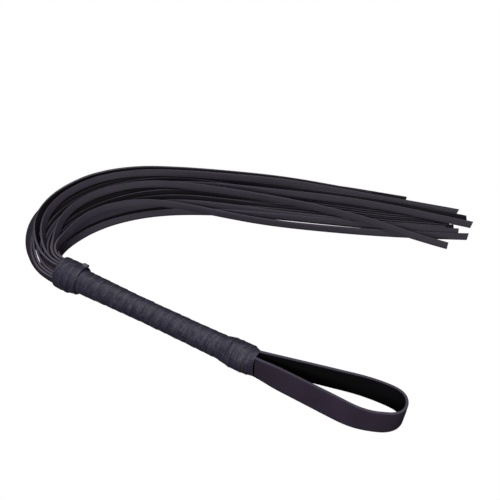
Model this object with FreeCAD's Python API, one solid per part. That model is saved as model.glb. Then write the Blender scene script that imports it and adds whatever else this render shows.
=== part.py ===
"""Multi-tail leather whip with a wrapped handle and a wrist loop, millimetres.

The handle lies along X on a table at z = 0. The falls leave the collar at its -X end, turn back in a
U on the +Y side and run out past the handle. The wrist loop stands on edge at the +X end.
Every shape is drawn with the centre of the collar's mouth at x = 0, y = 0, and is then moved so that
the origin is under the middle of the handle and loop.
"""

import math
import os

import FreeCAD, Part
from FreeCAD import Placement, Rotation, Vector

# Handle, from the mouth of the collar to the butt.
HANDLE_LENGTH = 190.0
COLLAR_DIAMETER = 27.0
COLLAR_LENGTH = 21.0
COLLAR_WALL = 1.2
COLLAR_TURNS = 2
GRIP_CORE_DIAMETER = 18.0
RIBBON_THICKNESS = 0.6
RIBBON_PITCH = 9.0
RIBBON_STEP = 0.45
NOSE_DIAMETER = 12.0
BUTT_WRAP_LENGTH = 29.0
BUTT_WRAP_WALL = 0.6
BUTT_WRAP_TURNS = 3
KNOB_DIAMETER = 22.4
KNOB_TAPER = 9.0
BUTT_RECESS = 5.0
WRAP_GAP = 0.3

# Rolled root of the falls, its thread and its tacks.
BAND_LENGTH = 20.0
BAND_LEATHER = 2.0
BAND_LAYER_GAP = 0.12
BAND_SKIVE = 0.3
THREAD_DIAMETER = 0.8
THREAD_TURNS = 9
THREAD_START = 6.0
TACK_SHANK_DIAMETER = 1.2
TACK_HEAD_DIAMETER = 3.2
TACK_HEAD_THICKNESS = 0.5
TACK_DEPTH = 4.0
TACK_AT = 16.5
TACK_COUNT = 3
TACK_FIRST_ANGLE = 60.0

# Loose end of the collar's ribbon.
TAG_WIDTH = 6.0
TAG_HEIGHT = 3.6
TAG_THICKNESS = 0.9
TAG_AROUND = 42.0
TAG_LEAN = 20.0
TAG_FROM_REAR = 4.5
TAG_FILLET = 0.4

# Wrist strap.
STRAP_WIDTH = 21.5
STRAP_THICKNESS = 2.4
STRAP_APART = 7.6
STRAP_TAIL = 24.0
KERF_CLEARANCE = 0.05
LOOP_REACH = 122.0
LOOP_TIP_RADIUS = 12.2
LOOP_SIDE_RADIUS = 145.0
LOOP_NEAR_RADIUS = 60.0
LOOP_TURN_IN = -56.0
LOOP_FAR = 27.3
PIN_DIAMETER = 2.0
PIN_RECESS = 1.8
PIN_FROM_BUTT = (8.0, 18.0)

# Falls: flat strips standing on edge.
FALL_WIDTH = 6.0
FALL_THICKNESS = 2.0

# Most of a run or a wall that a rounding may take at each end.
ARC_SHARE = 0.45

AXIS_Z = COLLAR_DIAMETER / 2
BAND_RADIUS = AXIS_Z - COLLAR_WALL
KNOB_START = HANDLE_LENGTH - BUTT_WRAP_LENGTH
CORE_END = HANDLE_LENGTH - BUTT_RECESS
GRIP_START = COLLAR_LENGTH + WRAP_GAP
GRIP_END = KNOB_START - WRAP_GAP
STRAP_MIDDLE = STRAP_APART / 2
PIN_LENGTH = KNOB_DIAMETER - 2 * PIN_RECESS

# The bundle of falls is laid out between two edges. Each station is a pair of plan points, measured
# from the mouth: the bundle's outer edge, and its inner edge on the side of the handle.
STATIONS = [
    ((0, -10.8), (0, 10.8)),
    ((-12, -10.8), (-7, 10.8)),
    ((-28, -4), (-15, 15)),
    ((-46, 10), (-20.5, 23.5)),
    ((-62, 31), (-23, 35)),
    ((-71, 56), (-22, 48)),
    ((-69, 85), (-17, 63)),
    ((-55, 117), (-5, 81.5)),
    ((-25, 144), (14, 102)),
    ((13, 163), (39, 120)),
    ((58, 182), (74, 135.5)),
    ((104, 199), (112, 150.5)),
    ((150, 215.5), (156, 169)),
    ((193, 229), (203, 190.5)),
    ((236, 241.5), (250, 215)),
    ((272, 251), (283, 233.5)),
]

# Height of a fall's middle at each station, for the ways that the falls lie on each other.
HEIGHTS = {
    "floor": (7.1, 7.1, 6.6, 5.4, 4.1, 3.3, 3.2, 3.2, 3.2, 3.2, 3.2, 3.2, 3.2, 3.2, 3.2, 3.2),
    "sinks": (13.5, 13.5, 13, 11.8, 10.5, 9.7, 9.6, 9.6, 9.6, 9.4, 6.3, 3.4, 3.2, 3.2, 3.2, 3.2),
    "rides": (13.5, 13.5, 13, 11.8, 10.5, 9.7, 9.6, 9.6, 9.6, 9.6, 9.6, 9.6, 9.6, 9.6, 9.6, 9.2),
    "inner": (19.9, 19.9, 19.4, 18.2, 16.9, 16.1, 16, 16, 15.9, 12, 7, 3.5, 3.2, 3.2, 3.2, 3.2),
    "cross": (19.9, 19.9, 19.4, 18.2, 16.9, 16.1, 16, 16, 16, 16, 14.5, 12, 10, 9.8, 7.6, 5),
    "crest": (19.9, 19.9, 19.4, 18.2, 16.9, 16.1, 16, 16, 16, 16, 16, 15.9, 12, 9.6, 9.6, 9.2),
}

# Each fall: the way it lies, how far it lies from the inner edge (0) to the outer edge (100) at each
# station, and the station at which it is cut off.
FALLS = {
    "fall_01": ("floor", (18, 18, 12, 3, -2, -3, -2, 1, 3, 6, 14, 20, 21, 22, 22, 22), 14.4),
    "fall_02": ("floor", (28.7, 28.7, 22, 13, 9, 8, 9, 12, 16, 21, 28, 33, 34, 34, 38, 40), 14.3),
    "fall_03": ("floor", (39.3, 39.3, 36, 33, 31, 31, 32, 34, 36, 39, 43, 46, 48, 47, 54, 58), 14.2),
    "fall_04": ("floor", (50, 50, 49, 48, 48, 49, 50, 50, 50, 52, 56, 59, 60, 60, 71, 80), 13.9),
    "fall_05": ("floor", (60.7, 60.7, 63, 68, 73, 76, 75, 72, 71, 71, 71, 72, 73, 72, 88, 95), 13.4),
    "fall_06": ("floor", (71.3, 71.3, 76, 84, 89, 91, 90, 88, 86, 85, 85, 85, 86, 87, 90, 90), 12.9),
    "fall_07": ("floor", (82, 82, 88, 96, 100, 100, 99, 100, 100, 100, 99, 98, 98, 98, 130, 140), 12.8),
    "fall_08": ("sinks", (0, 0, 1, 4, 6, 7, 8, 10, 13, 17, 23, 27, 27.5, 28, 30, 31), 14.1),
    "fall_09": ("sinks", (12.5, 12.5, 13, 14, 15, 16, 18, 21, 25, 30, 36, 40, 41, 40.5, 46, 49), 13.9),
    "fall_10": ("sinks", (25, 25, 25, 24, 24, 25, 27, 31, 38, 45, 49, 53, 54, 53.5, 62, 67), 14.15),
    "fall_11": ("sinks", (37.5, 37.5, 36, 34, 33, 34, 37, 42, 50, 58, 63.5, 66, 66.5, 66, 80, 90), 13.7),
    "fall_12": ("rides", (50, 50, 48, 44, 42, 43, 46, 52, 58, 65, 69, 71, 74, 70, 52, 30), 14.7),
    "fall_13": ("sinks", (62.5, 62.5, 60, 55, 51, 52, 55, 60, 68, 76, 77.5, 79, 80, 79, 92, 100), 13.4),
    "fall_14": ("rides", (75, 75, 72, 66, 60, 61, 64, 68, 74, 81.5, 83.5, 83.2, 81.5, 82, 72, 60), 14.6),
    "fall_15": ("sinks", (87.5, 87.5, 86, 80, 74, 74, 76, 78, 83, 90.5, 92, 92, 92, 92, 121, 130), 12.9),
    "fall_16": ("rides", (100, 100, 99, 95, 88, 87, 88, 89, 92, 97, 99.5, 101, 103, 103, 106, 108), 13.3),
    "fall_17": ("inner", (20, 20, 12, 2, -2, 2, 9, 12, 8, 3, 0, 0, 0, 0, 0, 0), 14.6),
    "fall_18": ("cross", (33, 33, 24, 15, 21, 33, 42, 47, 51, 49, 46, 46, 38, 10, -50, -110), 14.1),
    "fall_19": ("crest", (46, 46, 46, 48, 58, 67, 73, 76, 78, 80, 83, 88, 90.5, 93, 92, 92), 14.4),
    "fall_20": ("crest", (59, 59, 62, 68, 76, 81, 84, 86, 87, 88.5, 91, 94, 96.5, 98, 100, 102), 12.6),
}

X_DIRECTION = Vector(1, 0, 0)
Y_DIRECTION = Vector(0, 1, 0)
Z_DIRECTION = Vector(0, 0, 1)


def cylinder(radius, start, end):
    """A round bar along the handle's axis."""
    return Part.makeCylinder(radius, end - start, Vector(start, 0, AXIS_Z), X_DIRECTION)


def tube(inner, outer, start, end):
    return cylinder(outer, start, end).cut(cylinder(inner, start, end))


def turned(profile):
    """A ring turned about the handle's axis from (x, radius) points."""
    points = [Vector(x, 0, AXIS_Z + r) for x, r in profile]
    face = Part.Face(Part.makePolygon(points + points[:1]))
    return face.revolve(Vector(0, 0, AXIS_Z), X_DIRECTION, 360)


def about_axis(shape, degrees):
    turned_shape = shape.copy()
    turned_shape.rotate(Vector(0, 0, AXIS_Z), X_DIRECTION, degrees)
    return turned_shape


def ribbon_sleeve(inner_radius, outer_radius, start, end, turns):
    """Overlapped turns of ribbon: each turn climbs towards the edge that lies on the next one."""
    pitch = (end - start) / turns
    profile = [(start, inner_radius)]
    for n in range(turns):
        profile.append((start + n * pitch, outer_radius - RIBBON_STEP))
        profile.append((start + (n + 1) * pitch, outer_radius))
    profile.append((end, inner_radius))
    return turned(profile)


def butt_wrap():
    """Ribbon over the knob: its first turn climbs the taper from the grip."""
    pitch = (HANDLE_LENGTH - KNOB_START) / BUTT_WRAP_TURNS
    outer = KNOB_DIAMETER / 2 + BUTT_WRAP_WALL
    first = GRIP_CORE_DIAMETER / 2 + 2 * RIBBON_THICKNESS
    profile = [(KNOB_START, 0), (KNOB_START, first), (KNOB_START + KNOB_TAPER, outer)]
    for n in range(1, BUTT_WRAP_TURNS):
        profile.append((KNOB_START + n * pitch, outer))
        profile.append((KNOB_START + n * pitch, outer - RIBBON_STEP))
    profile += [(HANDLE_LENGTH, outer), (HANDLE_LENGTH, 0)]
    return minus(turned(profile), [knob(HANDLE_LENGTH)])


def knob(end):
    """The knob: a taper from the grip, then a round bar."""
    foot, full, tip = GRIP_CORE_DIAMETER / 2, KNOB_DIAMETER / 2, KNOB_START + KNOB_TAPER
    return turned([(KNOB_START, 0), (KNOB_START, foot), (tip, full), (end, full), (end, 0)])


def kerf_boxes(clearance):
    """The two upright slots at the butt that hold the strap's tails."""
    thickness = STRAP_THICKNESS + 2 * clearance
    for side in (-1, 1):
        corner = Vector(HANDLE_LENGTH - STRAP_TAIL, side * STRAP_MIDDLE - thickness / 2, 0)
        yield Part.makeBox(STRAP_TAIL, thickness, COLLAR_DIAMETER, corner)


def strap_pins():
    """Nails across the knob, through both tails."""
    start = Vector(HANDLE_LENGTH, -PIN_LENGTH / 2, AXIS_Z)
    return [
        Part.makeCylinder(PIN_DIAMETER / 2, PIN_LENGTH, start - X_DIRECTION * back, Y_DIRECTION)
        for back in PIN_FROM_BUTT
    ]


def tacks():
    """Short tacks through the rolled root into the nose of the core."""
    top = AXIS_Z + BAND_RADIUS
    shank_length = BAND_RADIUS - NOSE_DIAMETER / 2 + TACK_DEPTH
    shank_top = top - TACK_HEAD_THICKNESS
    shank_foot = Vector(TACK_AT, 0, top - shank_length)
    shank = Part.makeCylinder(TACK_SHANK_DIAMETER / 2, shank_top - shank_foot.z, shank_foot, Z_DIRECTION)
    head = Part.makeCylinder(
        TACK_HEAD_DIAMETER / 2, TACK_HEAD_THICKNESS, Vector(TACK_AT, 0, shank_top), Z_DIRECTION
    )
    tack = shank.fuse(head).removeSplitter().common(cylinder(BAND_RADIUS, 0, BAND_LENGTH))
    return [about_axis(tack, 360 / TACK_COUNT * n + TACK_FIRST_ANGLE) for n in range(TACK_COUNT)]


def minus(shape, tools):
    for tool in tools:
        shape = shape.cut(tool)
    return shape


def handle_core():
    """A turned dowel: a nose for the rolled root, the grip, and a knob with two kerfs."""
    nose_end = BAND_LENGTH
    core = cylinder(NOSE_DIAMETER / 2, 0, nose_end)
    core = core.fuse(cylinder(GRIP_CORE_DIAMETER / 2, nose_end, KNOB_START))
    core = core.fuse(knob(CORE_END)).removeSplitter()
    return minus(core, [*kerf_boxes(KERF_CLEARANCE), *strap_pins(), *tacks()])


def spiral(first_radius, pitch, turns):
    """A spiral of half circles about the handle's axis, in the plane x = 0."""
    edges = []
    for n in range(turns * 2):
        side = -1 if n % 2 else 1
        radius = first_radius + n * pitch / 2
        centre = Vector(0, pitch / 2 if n % 2 else 0, AXIS_Z)
        across = Vector(0, side * radius, 0)
        middle = centre + Vector(0, 0, side * radius)
        edges.append(Part.Arc(centre + across, middle, centre - across).toShape())
    return edges


def fringe_band():
    """The uncut root of the falls, rolled round the nose of the core and skived flush at both ends."""
    nose = NOSE_DIAMETER / 2
    turns = max(1, round((BAND_RADIUS - nose) / (BAND_LEATHER + BAND_LAYER_GAP)))
    pitch = (BAND_RADIUS - nose + 2 * BAND_SKIVE) / turns
    first = nose - BAND_SKIVE
    sides = [spiral(first + offset, pitch, turns) for offset in (0, BAND_LAYER_GAP)]
    ends = [
        Part.makeLine(*[edges[0].valueAt(edges[0].FirstParameter) for edges in sides]),
        Part.makeLine(*[edges[-1].valueAt(edges[-1].LastParameter) for edges in sides]),
    ]
    seam = Part.Face(Part.Wire(Part.__sortEdges__([*sides[0], *sides[1], *ends])))
    seam = seam.extrude(Vector(BAND_LENGTH, 0, 0))
    thread_end = THREAD_START + THREAD_TURNS * THREAD_DIAMETER
    groove = tube(BAND_RADIUS - THREAD_DIAMETER, BAND_RADIUS + 1, THREAD_START, thread_end)
    return minus(tube(nose, BAND_RADIUS, 0, BAND_LENGTH), [seam, groove, *tacks()])


def fringe_thread():
    """Waxed thread wound tight round the rolled root, as close turns."""
    radius = THREAD_DIAMETER / 2
    turns = []
    for n in range(THREAD_TURNS):
        x = THREAD_START + (n + 0.5) * THREAD_DIAMETER
        turns.append(Part.makeTorus(BAND_RADIUS - radius, radius, Vector(x, 0, AXIS_Z), X_DIRECTION))
    return Part.makeCompound(turns)


def collar_tag():
    """The ribbon's loose end, folded up at the rear of the collar."""
    foot = COLLAR_DIAMETER / 2
    x = COLLAR_LENGTH - TAG_FROM_REAR
    corner = Vector(x, -TAG_THICKNESS / 2, AXIS_Z + foot - RIBBON_STEP)
    sheet = Part.makeBox(TAG_WIDTH, TAG_THICKNESS, TAG_HEIGHT, corner)
    fillet = min(TAG_FILLET, TAG_THICKNESS * ARC_SHARE)
    top = corner.z + TAG_HEIGHT
    sheet = sheet.makeFillet(fillet, [edge for edge in sheet.Edges if top - edge.BoundBox.ZMin < fillet])
    lean = Placement(Vector(), Rotation(X_DIRECTION, -TAG_LEAN), Vector(x, 0, AXIS_Z + foot))
    sheet.Placement = lean.multiply(sheet.Placement)
    collar = cylinder(foot, -1, COLLAR_LENGTH + TAG_WIDTH)
    return about_axis(sheet.cut(collar), -TAG_AROUND)


def tangent(centre, radius, offset, side):
    """A leg of the loop in plan, from the butt to a round stretch: (its start, where it meets, angle there).

    side is 1 for the far leg and -1 for the near one. The leg is moved outwards by offset.
    """
    gap = Vector(HANDLE_LENGTH, side * STRAP_MIDDLE, 0) - centre
    angle = math.atan2(gap.y, gap.x) - side * math.acos(radius / gap.Length)
    out = Vector(math.cos(angle), math.sin(angle), 0)
    along = Vector(side * out.y, -side * out.x, 0)
    meets = centre + out * (radius + offset)
    return meets - along * ((meets.x - HANDLE_LENGTH) / along.x), meets, angle


def on_circle(centre, radius, angle):
    return centre + Vector(math.cos(angle), math.sin(angle), 0) * radius


def loop_edges(offset):
    """The loop's line in plan, moved sideways by offset: positive is outwards."""
    tip_x = HANDLE_LENGTH + LOOP_REACH - LOOP_TIP_RADIUS - STRAP_THICKNESS / 2
    tip = Vector(tip_x, LOOP_FAR - LOOP_TIP_RADIUS, 0)
    turn = math.radians(LOOP_TURN_IN)
    near = on_circle(tip, LOOP_TIP_RADIUS - LOOP_NEAR_RADIUS, turn)
    side = on_circle(tip, LOOP_TIP_RADIUS - LOOP_SIDE_RADIUS, math.pi / 2)
    tip_radius = LOOP_TIP_RADIUS + offset
    near_radius = LOOP_NEAR_RADIUS + offset
    side_radius = LOOP_SIDE_RADIUS + offset
    near_start, bend_start, near_angle = tangent(near, LOOP_NEAR_RADIUS, offset, -1)
    far_start, side_start, far_angle = tangent(side, LOOP_SIDE_RADIUS, offset, 1)
    bend_end = on_circle(tip, tip_radius, turn)
    top = on_circle(tip, tip_radius, math.pi / 2)
    return [
        Part.makeLine(near_start, bend_start),
        Part.Arc(bend_start, on_circle(near, near_radius, (near_angle + turn) / 2), bend_end).toShape(),
        Part.Arc(bend_end, on_circle(tip, tip_radius, 0), top).toShape(),
        Part.Arc(top, on_circle(side, side_radius, (far_angle + math.pi / 2) / 2), side_start).toShape(),
        Part.makeLine(side_start, far_start),
    ]


def wrist_loop():
    """The strap on edge: its lower edge drops from the handle's middle height to the table."""
    half = STRAP_THICKNESS / 2
    outer = loop_edges(half)
    inner = loop_edges(-half)
    ends = [
        Part.makeLine(outer[0].Vertexes[0].Point, inner[0].Vertexes[0].Point),
        Part.makeLine(outer[-1].Vertexes[-1].Point, inner[-1].Vertexes[-1].Point),
    ]
    face = Part.Face(Part.Wire(Part.__sortEdges__([*outer, *inner, *ends])))
    wall = face.extrude(Vector(0, 0, COLLAR_DIAMETER * 2))
    wall.translate(Vector(0, 0, -COLLAR_DIAMETER / 2))
    low = AXIS_Z - STRAP_WIDTH / 2
    far = HANDLE_LENGTH + LOOP_REACH
    corners = [
        Vector(HANDLE_LENGTH, -COLLAR_DIAMETER, low),
        Vector(far, -COLLAR_DIAMETER, 0),
        Vector(far, -COLLAR_DIAMETER, STRAP_WIDTH),
        Vector(HANDLE_LENGTH, -COLLAR_DIAMETER, low + STRAP_WIDTH),
    ]
    slab = Part.Face(Part.makePolygon(corners + corners[:1]))
    return wall.common(slab.extrude(Vector(0, COLLAR_DIAMETER * 4, 0)))


def strap_tails():
    """The two ends of the strap in the kerfs, skived to the knob and pinned through."""
    tails = []
    for side in (-1, 1):
        corner = Vector(
            HANDLE_LENGTH - STRAP_TAIL + KERF_CLEARANCE,
            side * STRAP_MIDDLE - STRAP_THICKNESS / 2,
            AXIS_Z - STRAP_WIDTH / 2,
        )
        box = Part.makeBox(STRAP_TAIL - KERF_CLEARANCE, STRAP_THICKNESS, STRAP_WIDTH, corner)
        box = box.common(knob(HANDLE_LENGTH))
        tails.append(minus(box, strap_pins()))
    return Part.makeCompound(tails)


def at_station(place, values):
    """A value between two stations."""
    n = min(int(place), len(values) - 2)
    return values[n] + (values[n + 1] - values[n]) * (place - n)


def fall_point(place, lanes, heights):
    share = at_station(place, lanes) / 100
    outer = [at_station(place, [station[0][k] for station in STATIONS]) for k in (0, 1)]
    inner = [at_station(place, [station[1][k] for station in STATIONS]) for k in (0, 1)]
    x, y = (inner[k] + (outer[k] - inner[k]) * share for k in (0, 1))
    return Vector(x, y, at_station(place, heights))


def fall_route(way, lanes, end):
    """A fall's points, one at each station. No run at the tip is under half a station long."""
    whole = int(end)
    places = [*range(whole + 1), end]
    if end - whole < 0.5:
        places[-2] = (whole - 1 + end) / 2
    return [fall_point(place, lanes, HEIGHTS[way]) for place in places]


def rounded_path(points):
    """Straight runs joined by tangent arcs as large as the runs allow: (wire, smallest radius)."""
    edges, radii = [], []
    at = points[0]
    for before, corner, after in zip(points, points[1:], points[2:]):
        back = before - corner
        on = after - corner
        setback = ARC_SHARE * min(back.Length, on.Length)
        back.normalize()
        on.normalize()
        half_turn = (math.pi - back.getAngle(on)) / 2
        radius = setback / math.tan(half_turn)
        bisector = (back + on).normalize()
        middle = corner + bisector * (math.hypot(setback, radius) - radius)
        start, end = corner + back * setback, corner + on * setback
        edges.append(Part.LineSegment(at, start).toShape())
        edges.append(Part.Arc(start, middle, end).toShape())
        radii.append(radius)
        at = end
    edges.append(Part.LineSegment(at, points[-1]).toShape())
    return Part.Wire(edges), min(radii)


def fall(name):
    """A flat strip swept on edge along its rounded path."""
    path, radius = rounded_path(fall_route(*FALLS[name]))
    start = path.Edges[0].Vertexes[0].Point
    half_width, half_thickness = FALL_WIDTH / 2, FALL_THICKNESS / 2
    corners = [
        start + Vector(0, side * half_thickness, lift * half_width)
        for side, lift in ((-1, -1), (1, -1), (1, 1), (-1, 1))
    ]
    sweep = Part.BRepOffsetAPI.MakePipeShell(path)
    sweep.setBiNormalMode(Z_DIRECTION)
    sweep.add(Part.makePolygon(corners + corners[:1]))
    sweep.build()
    sweep.makeSolid()
    solid = sweep.shape()
    share = solid.Volume / (FALL_WIDTH * FALL_THICKNESS * path.Length)
    print(f"{name}: length {path.Length:.1f}, smallest radius {radius:.1f}, volume share {share:.3f}")
    return solid


def make_parts():
    parts = {
        "handle_core": handle_core(),
        "fringe_band": fringe_band(),
        "fringe_thread": fringe_thread(),
        "fringe_tacks": Part.makeCompound(tacks()),
        "collar_wrap": ribbon_sleeve(BAND_RADIUS, COLLAR_DIAMETER / 2, 0, COLLAR_LENGTH, COLLAR_TURNS),
        "collar_tag": collar_tag(),
        "grip_wrap": ribbon_sleeve(
            GRIP_CORE_DIAMETER / 2,
            GRIP_CORE_DIAMETER / 2 + 2 * RIBBON_THICKNESS,
            GRIP_START,
            GRIP_END,
            round((GRIP_END - GRIP_START) / RIBBON_PITCH),
        ),
        "butt_wrap": butt_wrap(),
        "strap_tails": strap_tails(),
        "strap_pins": Part.makeCompound(strap_pins()),
        "wrist_loop": wrist_loop(),
    }
    parts.update({name: fall(name) for name in FALLS})
    return parts


def main():
    tip = HANDLE_LENGTH + LOOP_REACH
    far_side = LOOP_FAR + STRAP_THICKNESS / 2
    move = Vector(-tip / 2, -(far_side - AXIS_Z) / 2, 0)
    print(f"mouth at {move.x:.3f}, {move.y:.3f}, {AXIS_Z:.3f}; butt at {move.x + HANDLE_LENGTH:.3f}")
    os.makedirs("parts", exist_ok=True)
    for name, shape in make_parts().items():
        shape.translate(move)
        if not shape.isValid():
            raise ValueError(f"{name} is not a valid shape")
        shape.exportStep(f"parts/{name}.step")
        print(f"{name}: {len(shape.Solids)} solids, volume {shape.Volume:.0f}")


main()
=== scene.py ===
"""Looks of a multi-tail leather whip: falls, ribbon wraps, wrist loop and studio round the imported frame."""

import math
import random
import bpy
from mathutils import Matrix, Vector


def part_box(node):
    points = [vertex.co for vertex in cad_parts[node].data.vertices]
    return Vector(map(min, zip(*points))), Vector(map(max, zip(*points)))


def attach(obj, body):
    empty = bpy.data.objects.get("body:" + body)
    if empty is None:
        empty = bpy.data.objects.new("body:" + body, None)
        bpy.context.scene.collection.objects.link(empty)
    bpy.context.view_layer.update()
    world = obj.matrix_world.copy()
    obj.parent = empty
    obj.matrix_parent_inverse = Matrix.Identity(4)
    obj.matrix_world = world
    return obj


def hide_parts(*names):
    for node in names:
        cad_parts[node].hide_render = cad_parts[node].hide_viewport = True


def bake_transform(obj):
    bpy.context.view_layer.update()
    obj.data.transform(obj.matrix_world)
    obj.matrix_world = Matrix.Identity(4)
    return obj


bl_info = {
    "name": "Multi-tail whip",
    "version": (1, 0, 0),
    "blender": (4, 5, 0),
    "location": "View3D > Sidebar > Whip",
    "description": "Builds the falls, the ribbon wraps, the wrist loop and the studio of a leather whip",
    "category": "Object",
}

import bmesh
import bpy
from bpy.props import FloatProperty, FloatVectorProperty, IntProperty, PointerProperty
from mathutils import Matrix, Vector, noise

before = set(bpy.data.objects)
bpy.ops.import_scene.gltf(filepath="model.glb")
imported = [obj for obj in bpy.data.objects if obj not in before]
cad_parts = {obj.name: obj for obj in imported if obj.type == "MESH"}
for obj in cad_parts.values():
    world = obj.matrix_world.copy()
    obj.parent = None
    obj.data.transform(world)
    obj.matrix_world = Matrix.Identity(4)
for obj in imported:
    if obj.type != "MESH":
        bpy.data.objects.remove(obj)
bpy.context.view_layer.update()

MM = 0.001
LAYERS = ("along", "across", "edge", "flesh")
UP = Vector((0, 0, 1))
COLLAR_LOW, COLLAR_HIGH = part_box("collar_wrap")
GRIP_LOW, GRIP_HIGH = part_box("grip_wrap")
BUTT_LOW, BUTT_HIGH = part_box("butt_wrap")
TAIL_LOW, TAIL_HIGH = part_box("strap_tails")
LOOP_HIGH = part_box("wrist_loop")[1]
AXIS = (COLLAR_LOW + COLLAR_HIGH) / 2
MOUTH = Vector((COLLAR_LOW.x, AXIS.y, AXIS.z))
BUTT = Vector((BUTT_HIGH.x, AXIS.y, AXIS.z))

# The bundle of falls in plan, millimetres from the mouth of the collar: at each station its outer
# edge, and its inner edge on the side of the handle.
STATIONS = [
    ((0, -10.8), (0, 10.8)),
    ((-12, -10.8), (-7, 10.8)),
    ((-28, -4), (-15, 15)),
    ((-46, 10), (-20.5, 23.5)),
    ((-62, 31), (-23, 35)),
    ((-71, 56), (-22, 48)),
    ((-69, 85), (-17, 63)),
    ((-55, 117), (-5, 81.5)),
    ((-25, 144), (14, 102)),
    ((13, 163), (39, 120)),
    ((58, 182), (74, 135.5)),
    ((104, 199), (112, 150.5)),
    ((150, 215.5), (156, 169)),
    ((193, 229), (203, 190.5)),
    ((236, 241.5), (250, 215)),
    ((272, 251), (283, 233.5)),
]

# Height of a fall's middle at each station, for the ways that the falls lie on each other.
HEIGHTS = {
    "floor": (7.1, 7.1, 6.6, 5.4, 4.1, 3.3, 3.2, 3.2, 3.2, 3.2, 3.2, 3.2, 3.2, 3.2, 3.2, 3.2),
    "sinks": (13.5, 13.5, 13, 11.8, 10.5, 9.7, 9.6, 9.6, 9.6, 9.4, 6.3, 3.4, 3.2, 3.2, 3.2, 3.2),
    "rides": (13.5, 13.5, 13, 11.8, 10.5, 9.7, 9.6, 9.6, 9.6, 9.6, 9.6, 9.6, 9.6, 9.6, 9.6, 9.2),
    "inner": (19.9, 19.9, 19.4, 18.2, 16.9, 16.1, 16, 16, 15.9, 12, 7, 3.5, 3.2, 3.2, 3.2, 3.2),
    "cross": (19.9, 19.9, 19.4, 18.2, 16.9, 16.1, 16, 16, 16, 16, 14.5, 12, 10, 9.8, 7.6, 5),
    "crest": (19.9, 19.9, 19.4, 18.2, 16.9, 16.1, 16, 16, 16, 16, 16, 15.9, 12, 9.6, 9.6, 9.2),
}

# Each fall: the way it lies, its share of the way from the inner edge (0) to the outer edge (100) at
# each station, and the station at which it is cut off.
FALLS = {
    "fall_01": ("floor", (18, 18, 12, 3, -2, -3, -2, 1, 3, 6, 14, 20, 21, 22, 22, 22), 14.4),
    "fall_02": ("floor", (28.7, 28.7, 22, 13, 9, 8, 9, 12, 16, 21, 28, 33, 34, 34, 38, 40), 14.3),
    "fall_03": ("floor", (39.3, 39.3, 36, 33, 31, 31, 32, 34, 36, 39, 43, 46, 48, 47, 54, 58), 14.2),
    "fall_04": ("floor", (50, 50, 49, 48, 48, 49, 50, 50, 50, 52, 56, 59, 60, 60, 71, 80), 13.9),
    "fall_05": ("floor", (60.7, 60.7, 63, 68, 73, 76, 75, 72, 71, 71, 71, 72, 73, 72, 88, 95), 13.4),
    "fall_06": ("floor", (71.3, 71.3, 76, 84, 89, 91, 90, 88, 86, 85, 85, 85, 86, 87, 90, 90), 12.9),
    "fall_07": ("floor", (82, 82, 88, 96, 100, 100, 99, 100, 100, 100, 99, 98, 98, 98, 130, 140), 12.8),
    "fall_08": ("sinks", (0, 0, 1, 4, 6, 7, 8, 10, 13, 17, 23, 27, 27.5, 28, 30, 31), 14.1),
    "fall_09": ("sinks", (12.5, 12.5, 13, 14, 15, 16, 18, 21, 25, 30, 36, 40, 41, 40.5, 46, 49), 13.9),
    "fall_10": ("sinks", (25, 25, 25, 24, 24, 25, 27, 31, 38, 45, 49, 53, 54, 53.5, 62, 67), 14.15),
    "fall_11": ("sinks", (37.5, 37.5, 36, 34, 33, 34, 37, 42, 50, 58, 63.5, 66, 66.5, 66, 80, 90), 13.7),
    "fall_12": ("rides", (50, 50, 48, 44, 42, 43, 46, 52, 58, 65, 69, 71, 74, 70, 52, 30), 14.7),
    "fall_13": ("sinks", (62.5, 62.5, 60, 55, 51, 52, 55, 60, 68, 76, 77.5, 79, 80, 79, 92, 100), 13.4),
    "fall_14": ("rides", (75, 75, 72, 66, 60, 61, 64, 68, 74, 81.5, 83.5, 83.2, 81.5, 82, 72, 60), 14.6),
    "fall_15": ("sinks", (87.5, 87.5, 86, 80, 74, 74, 76, 78, 83, 90.5, 92, 92, 92, 92, 121, 130), 12.9),
    "fall_16": ("rides", (100, 100, 99, 95, 88, 87, 88, 89, 92, 97, 99.5, 101, 103, 103, 106, 108), 13.3),
    "fall_17": ("inner", (20, 20, 12, 2, -2, 2, 9, 12, 8, 3, 0, 0, 0, 0, 0, 0), 14.6),
    "fall_18": ("cross", (33, 33, 24, 15, 21, 33, 42, 47, 51, 49, 46, 46, 38, 10, -50, -110), 14.1),
    "fall_19": ("crest", (46, 46, 46, 48, 58, 67, 73, 76, 78, 80, 83, 88, 90.5, 93, 92, 92), 14.4),
    "fall_20": ("crest", (59, 59, 62, 68, 76, 81, 84, 86, 87, 88.5, 91, 94, 96.5, 98, 100, 102), 12.6),
}

# How far a fall's top leans towards the bundle's outer edge at each station, in degrees, at the inner
# edge of the bundle and at its outer edge.
INNER_LEANS = (0, 0, 14, 32, 42, 44, 42, 38, 32, 26, 24, 26, 28, 32, 37, 40)
OUTER_LEANS = (0, 0, -24, -54, -66, -66, -62, -48, -12, 12, 20, 24, 28, 32, 37, 40)


def at_station(place, values):
    """A value between two stations."""
    n = min(int(place), len(values) - 2)
    return values[n] + (values[n + 1] - values[n]) * (place - n)


def fall_point(place, lanes, heights):
    share = at_station(place, lanes) / 100
    outer = [at_station(place, [station[0][k] for station in STATIONS]) for k in (0, 1)]
    inner = [at_station(place, [station[1][k] for station in STATIONS]) for k in (0, 1)]
    x, y = (inner[k] + (outer[k] - inner[k]) * share for k in (0, 1))
    return Vector((MOUTH.x + x * MM, MOUTH.y + y * MM, at_station(place, heights) * MM))


def fall_route(way, lanes, end):
    """A fall's points, one at each station. No run at the tip is under half a station long."""
    whole = int(end)
    places = [*range(whole + 1), end]
    if end - whole < 0.5:
        places[-2] = (whole - 1 + end) / 2
    return [fall_point(place, lanes, HEIGHTS[way]) for place in places]


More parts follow.
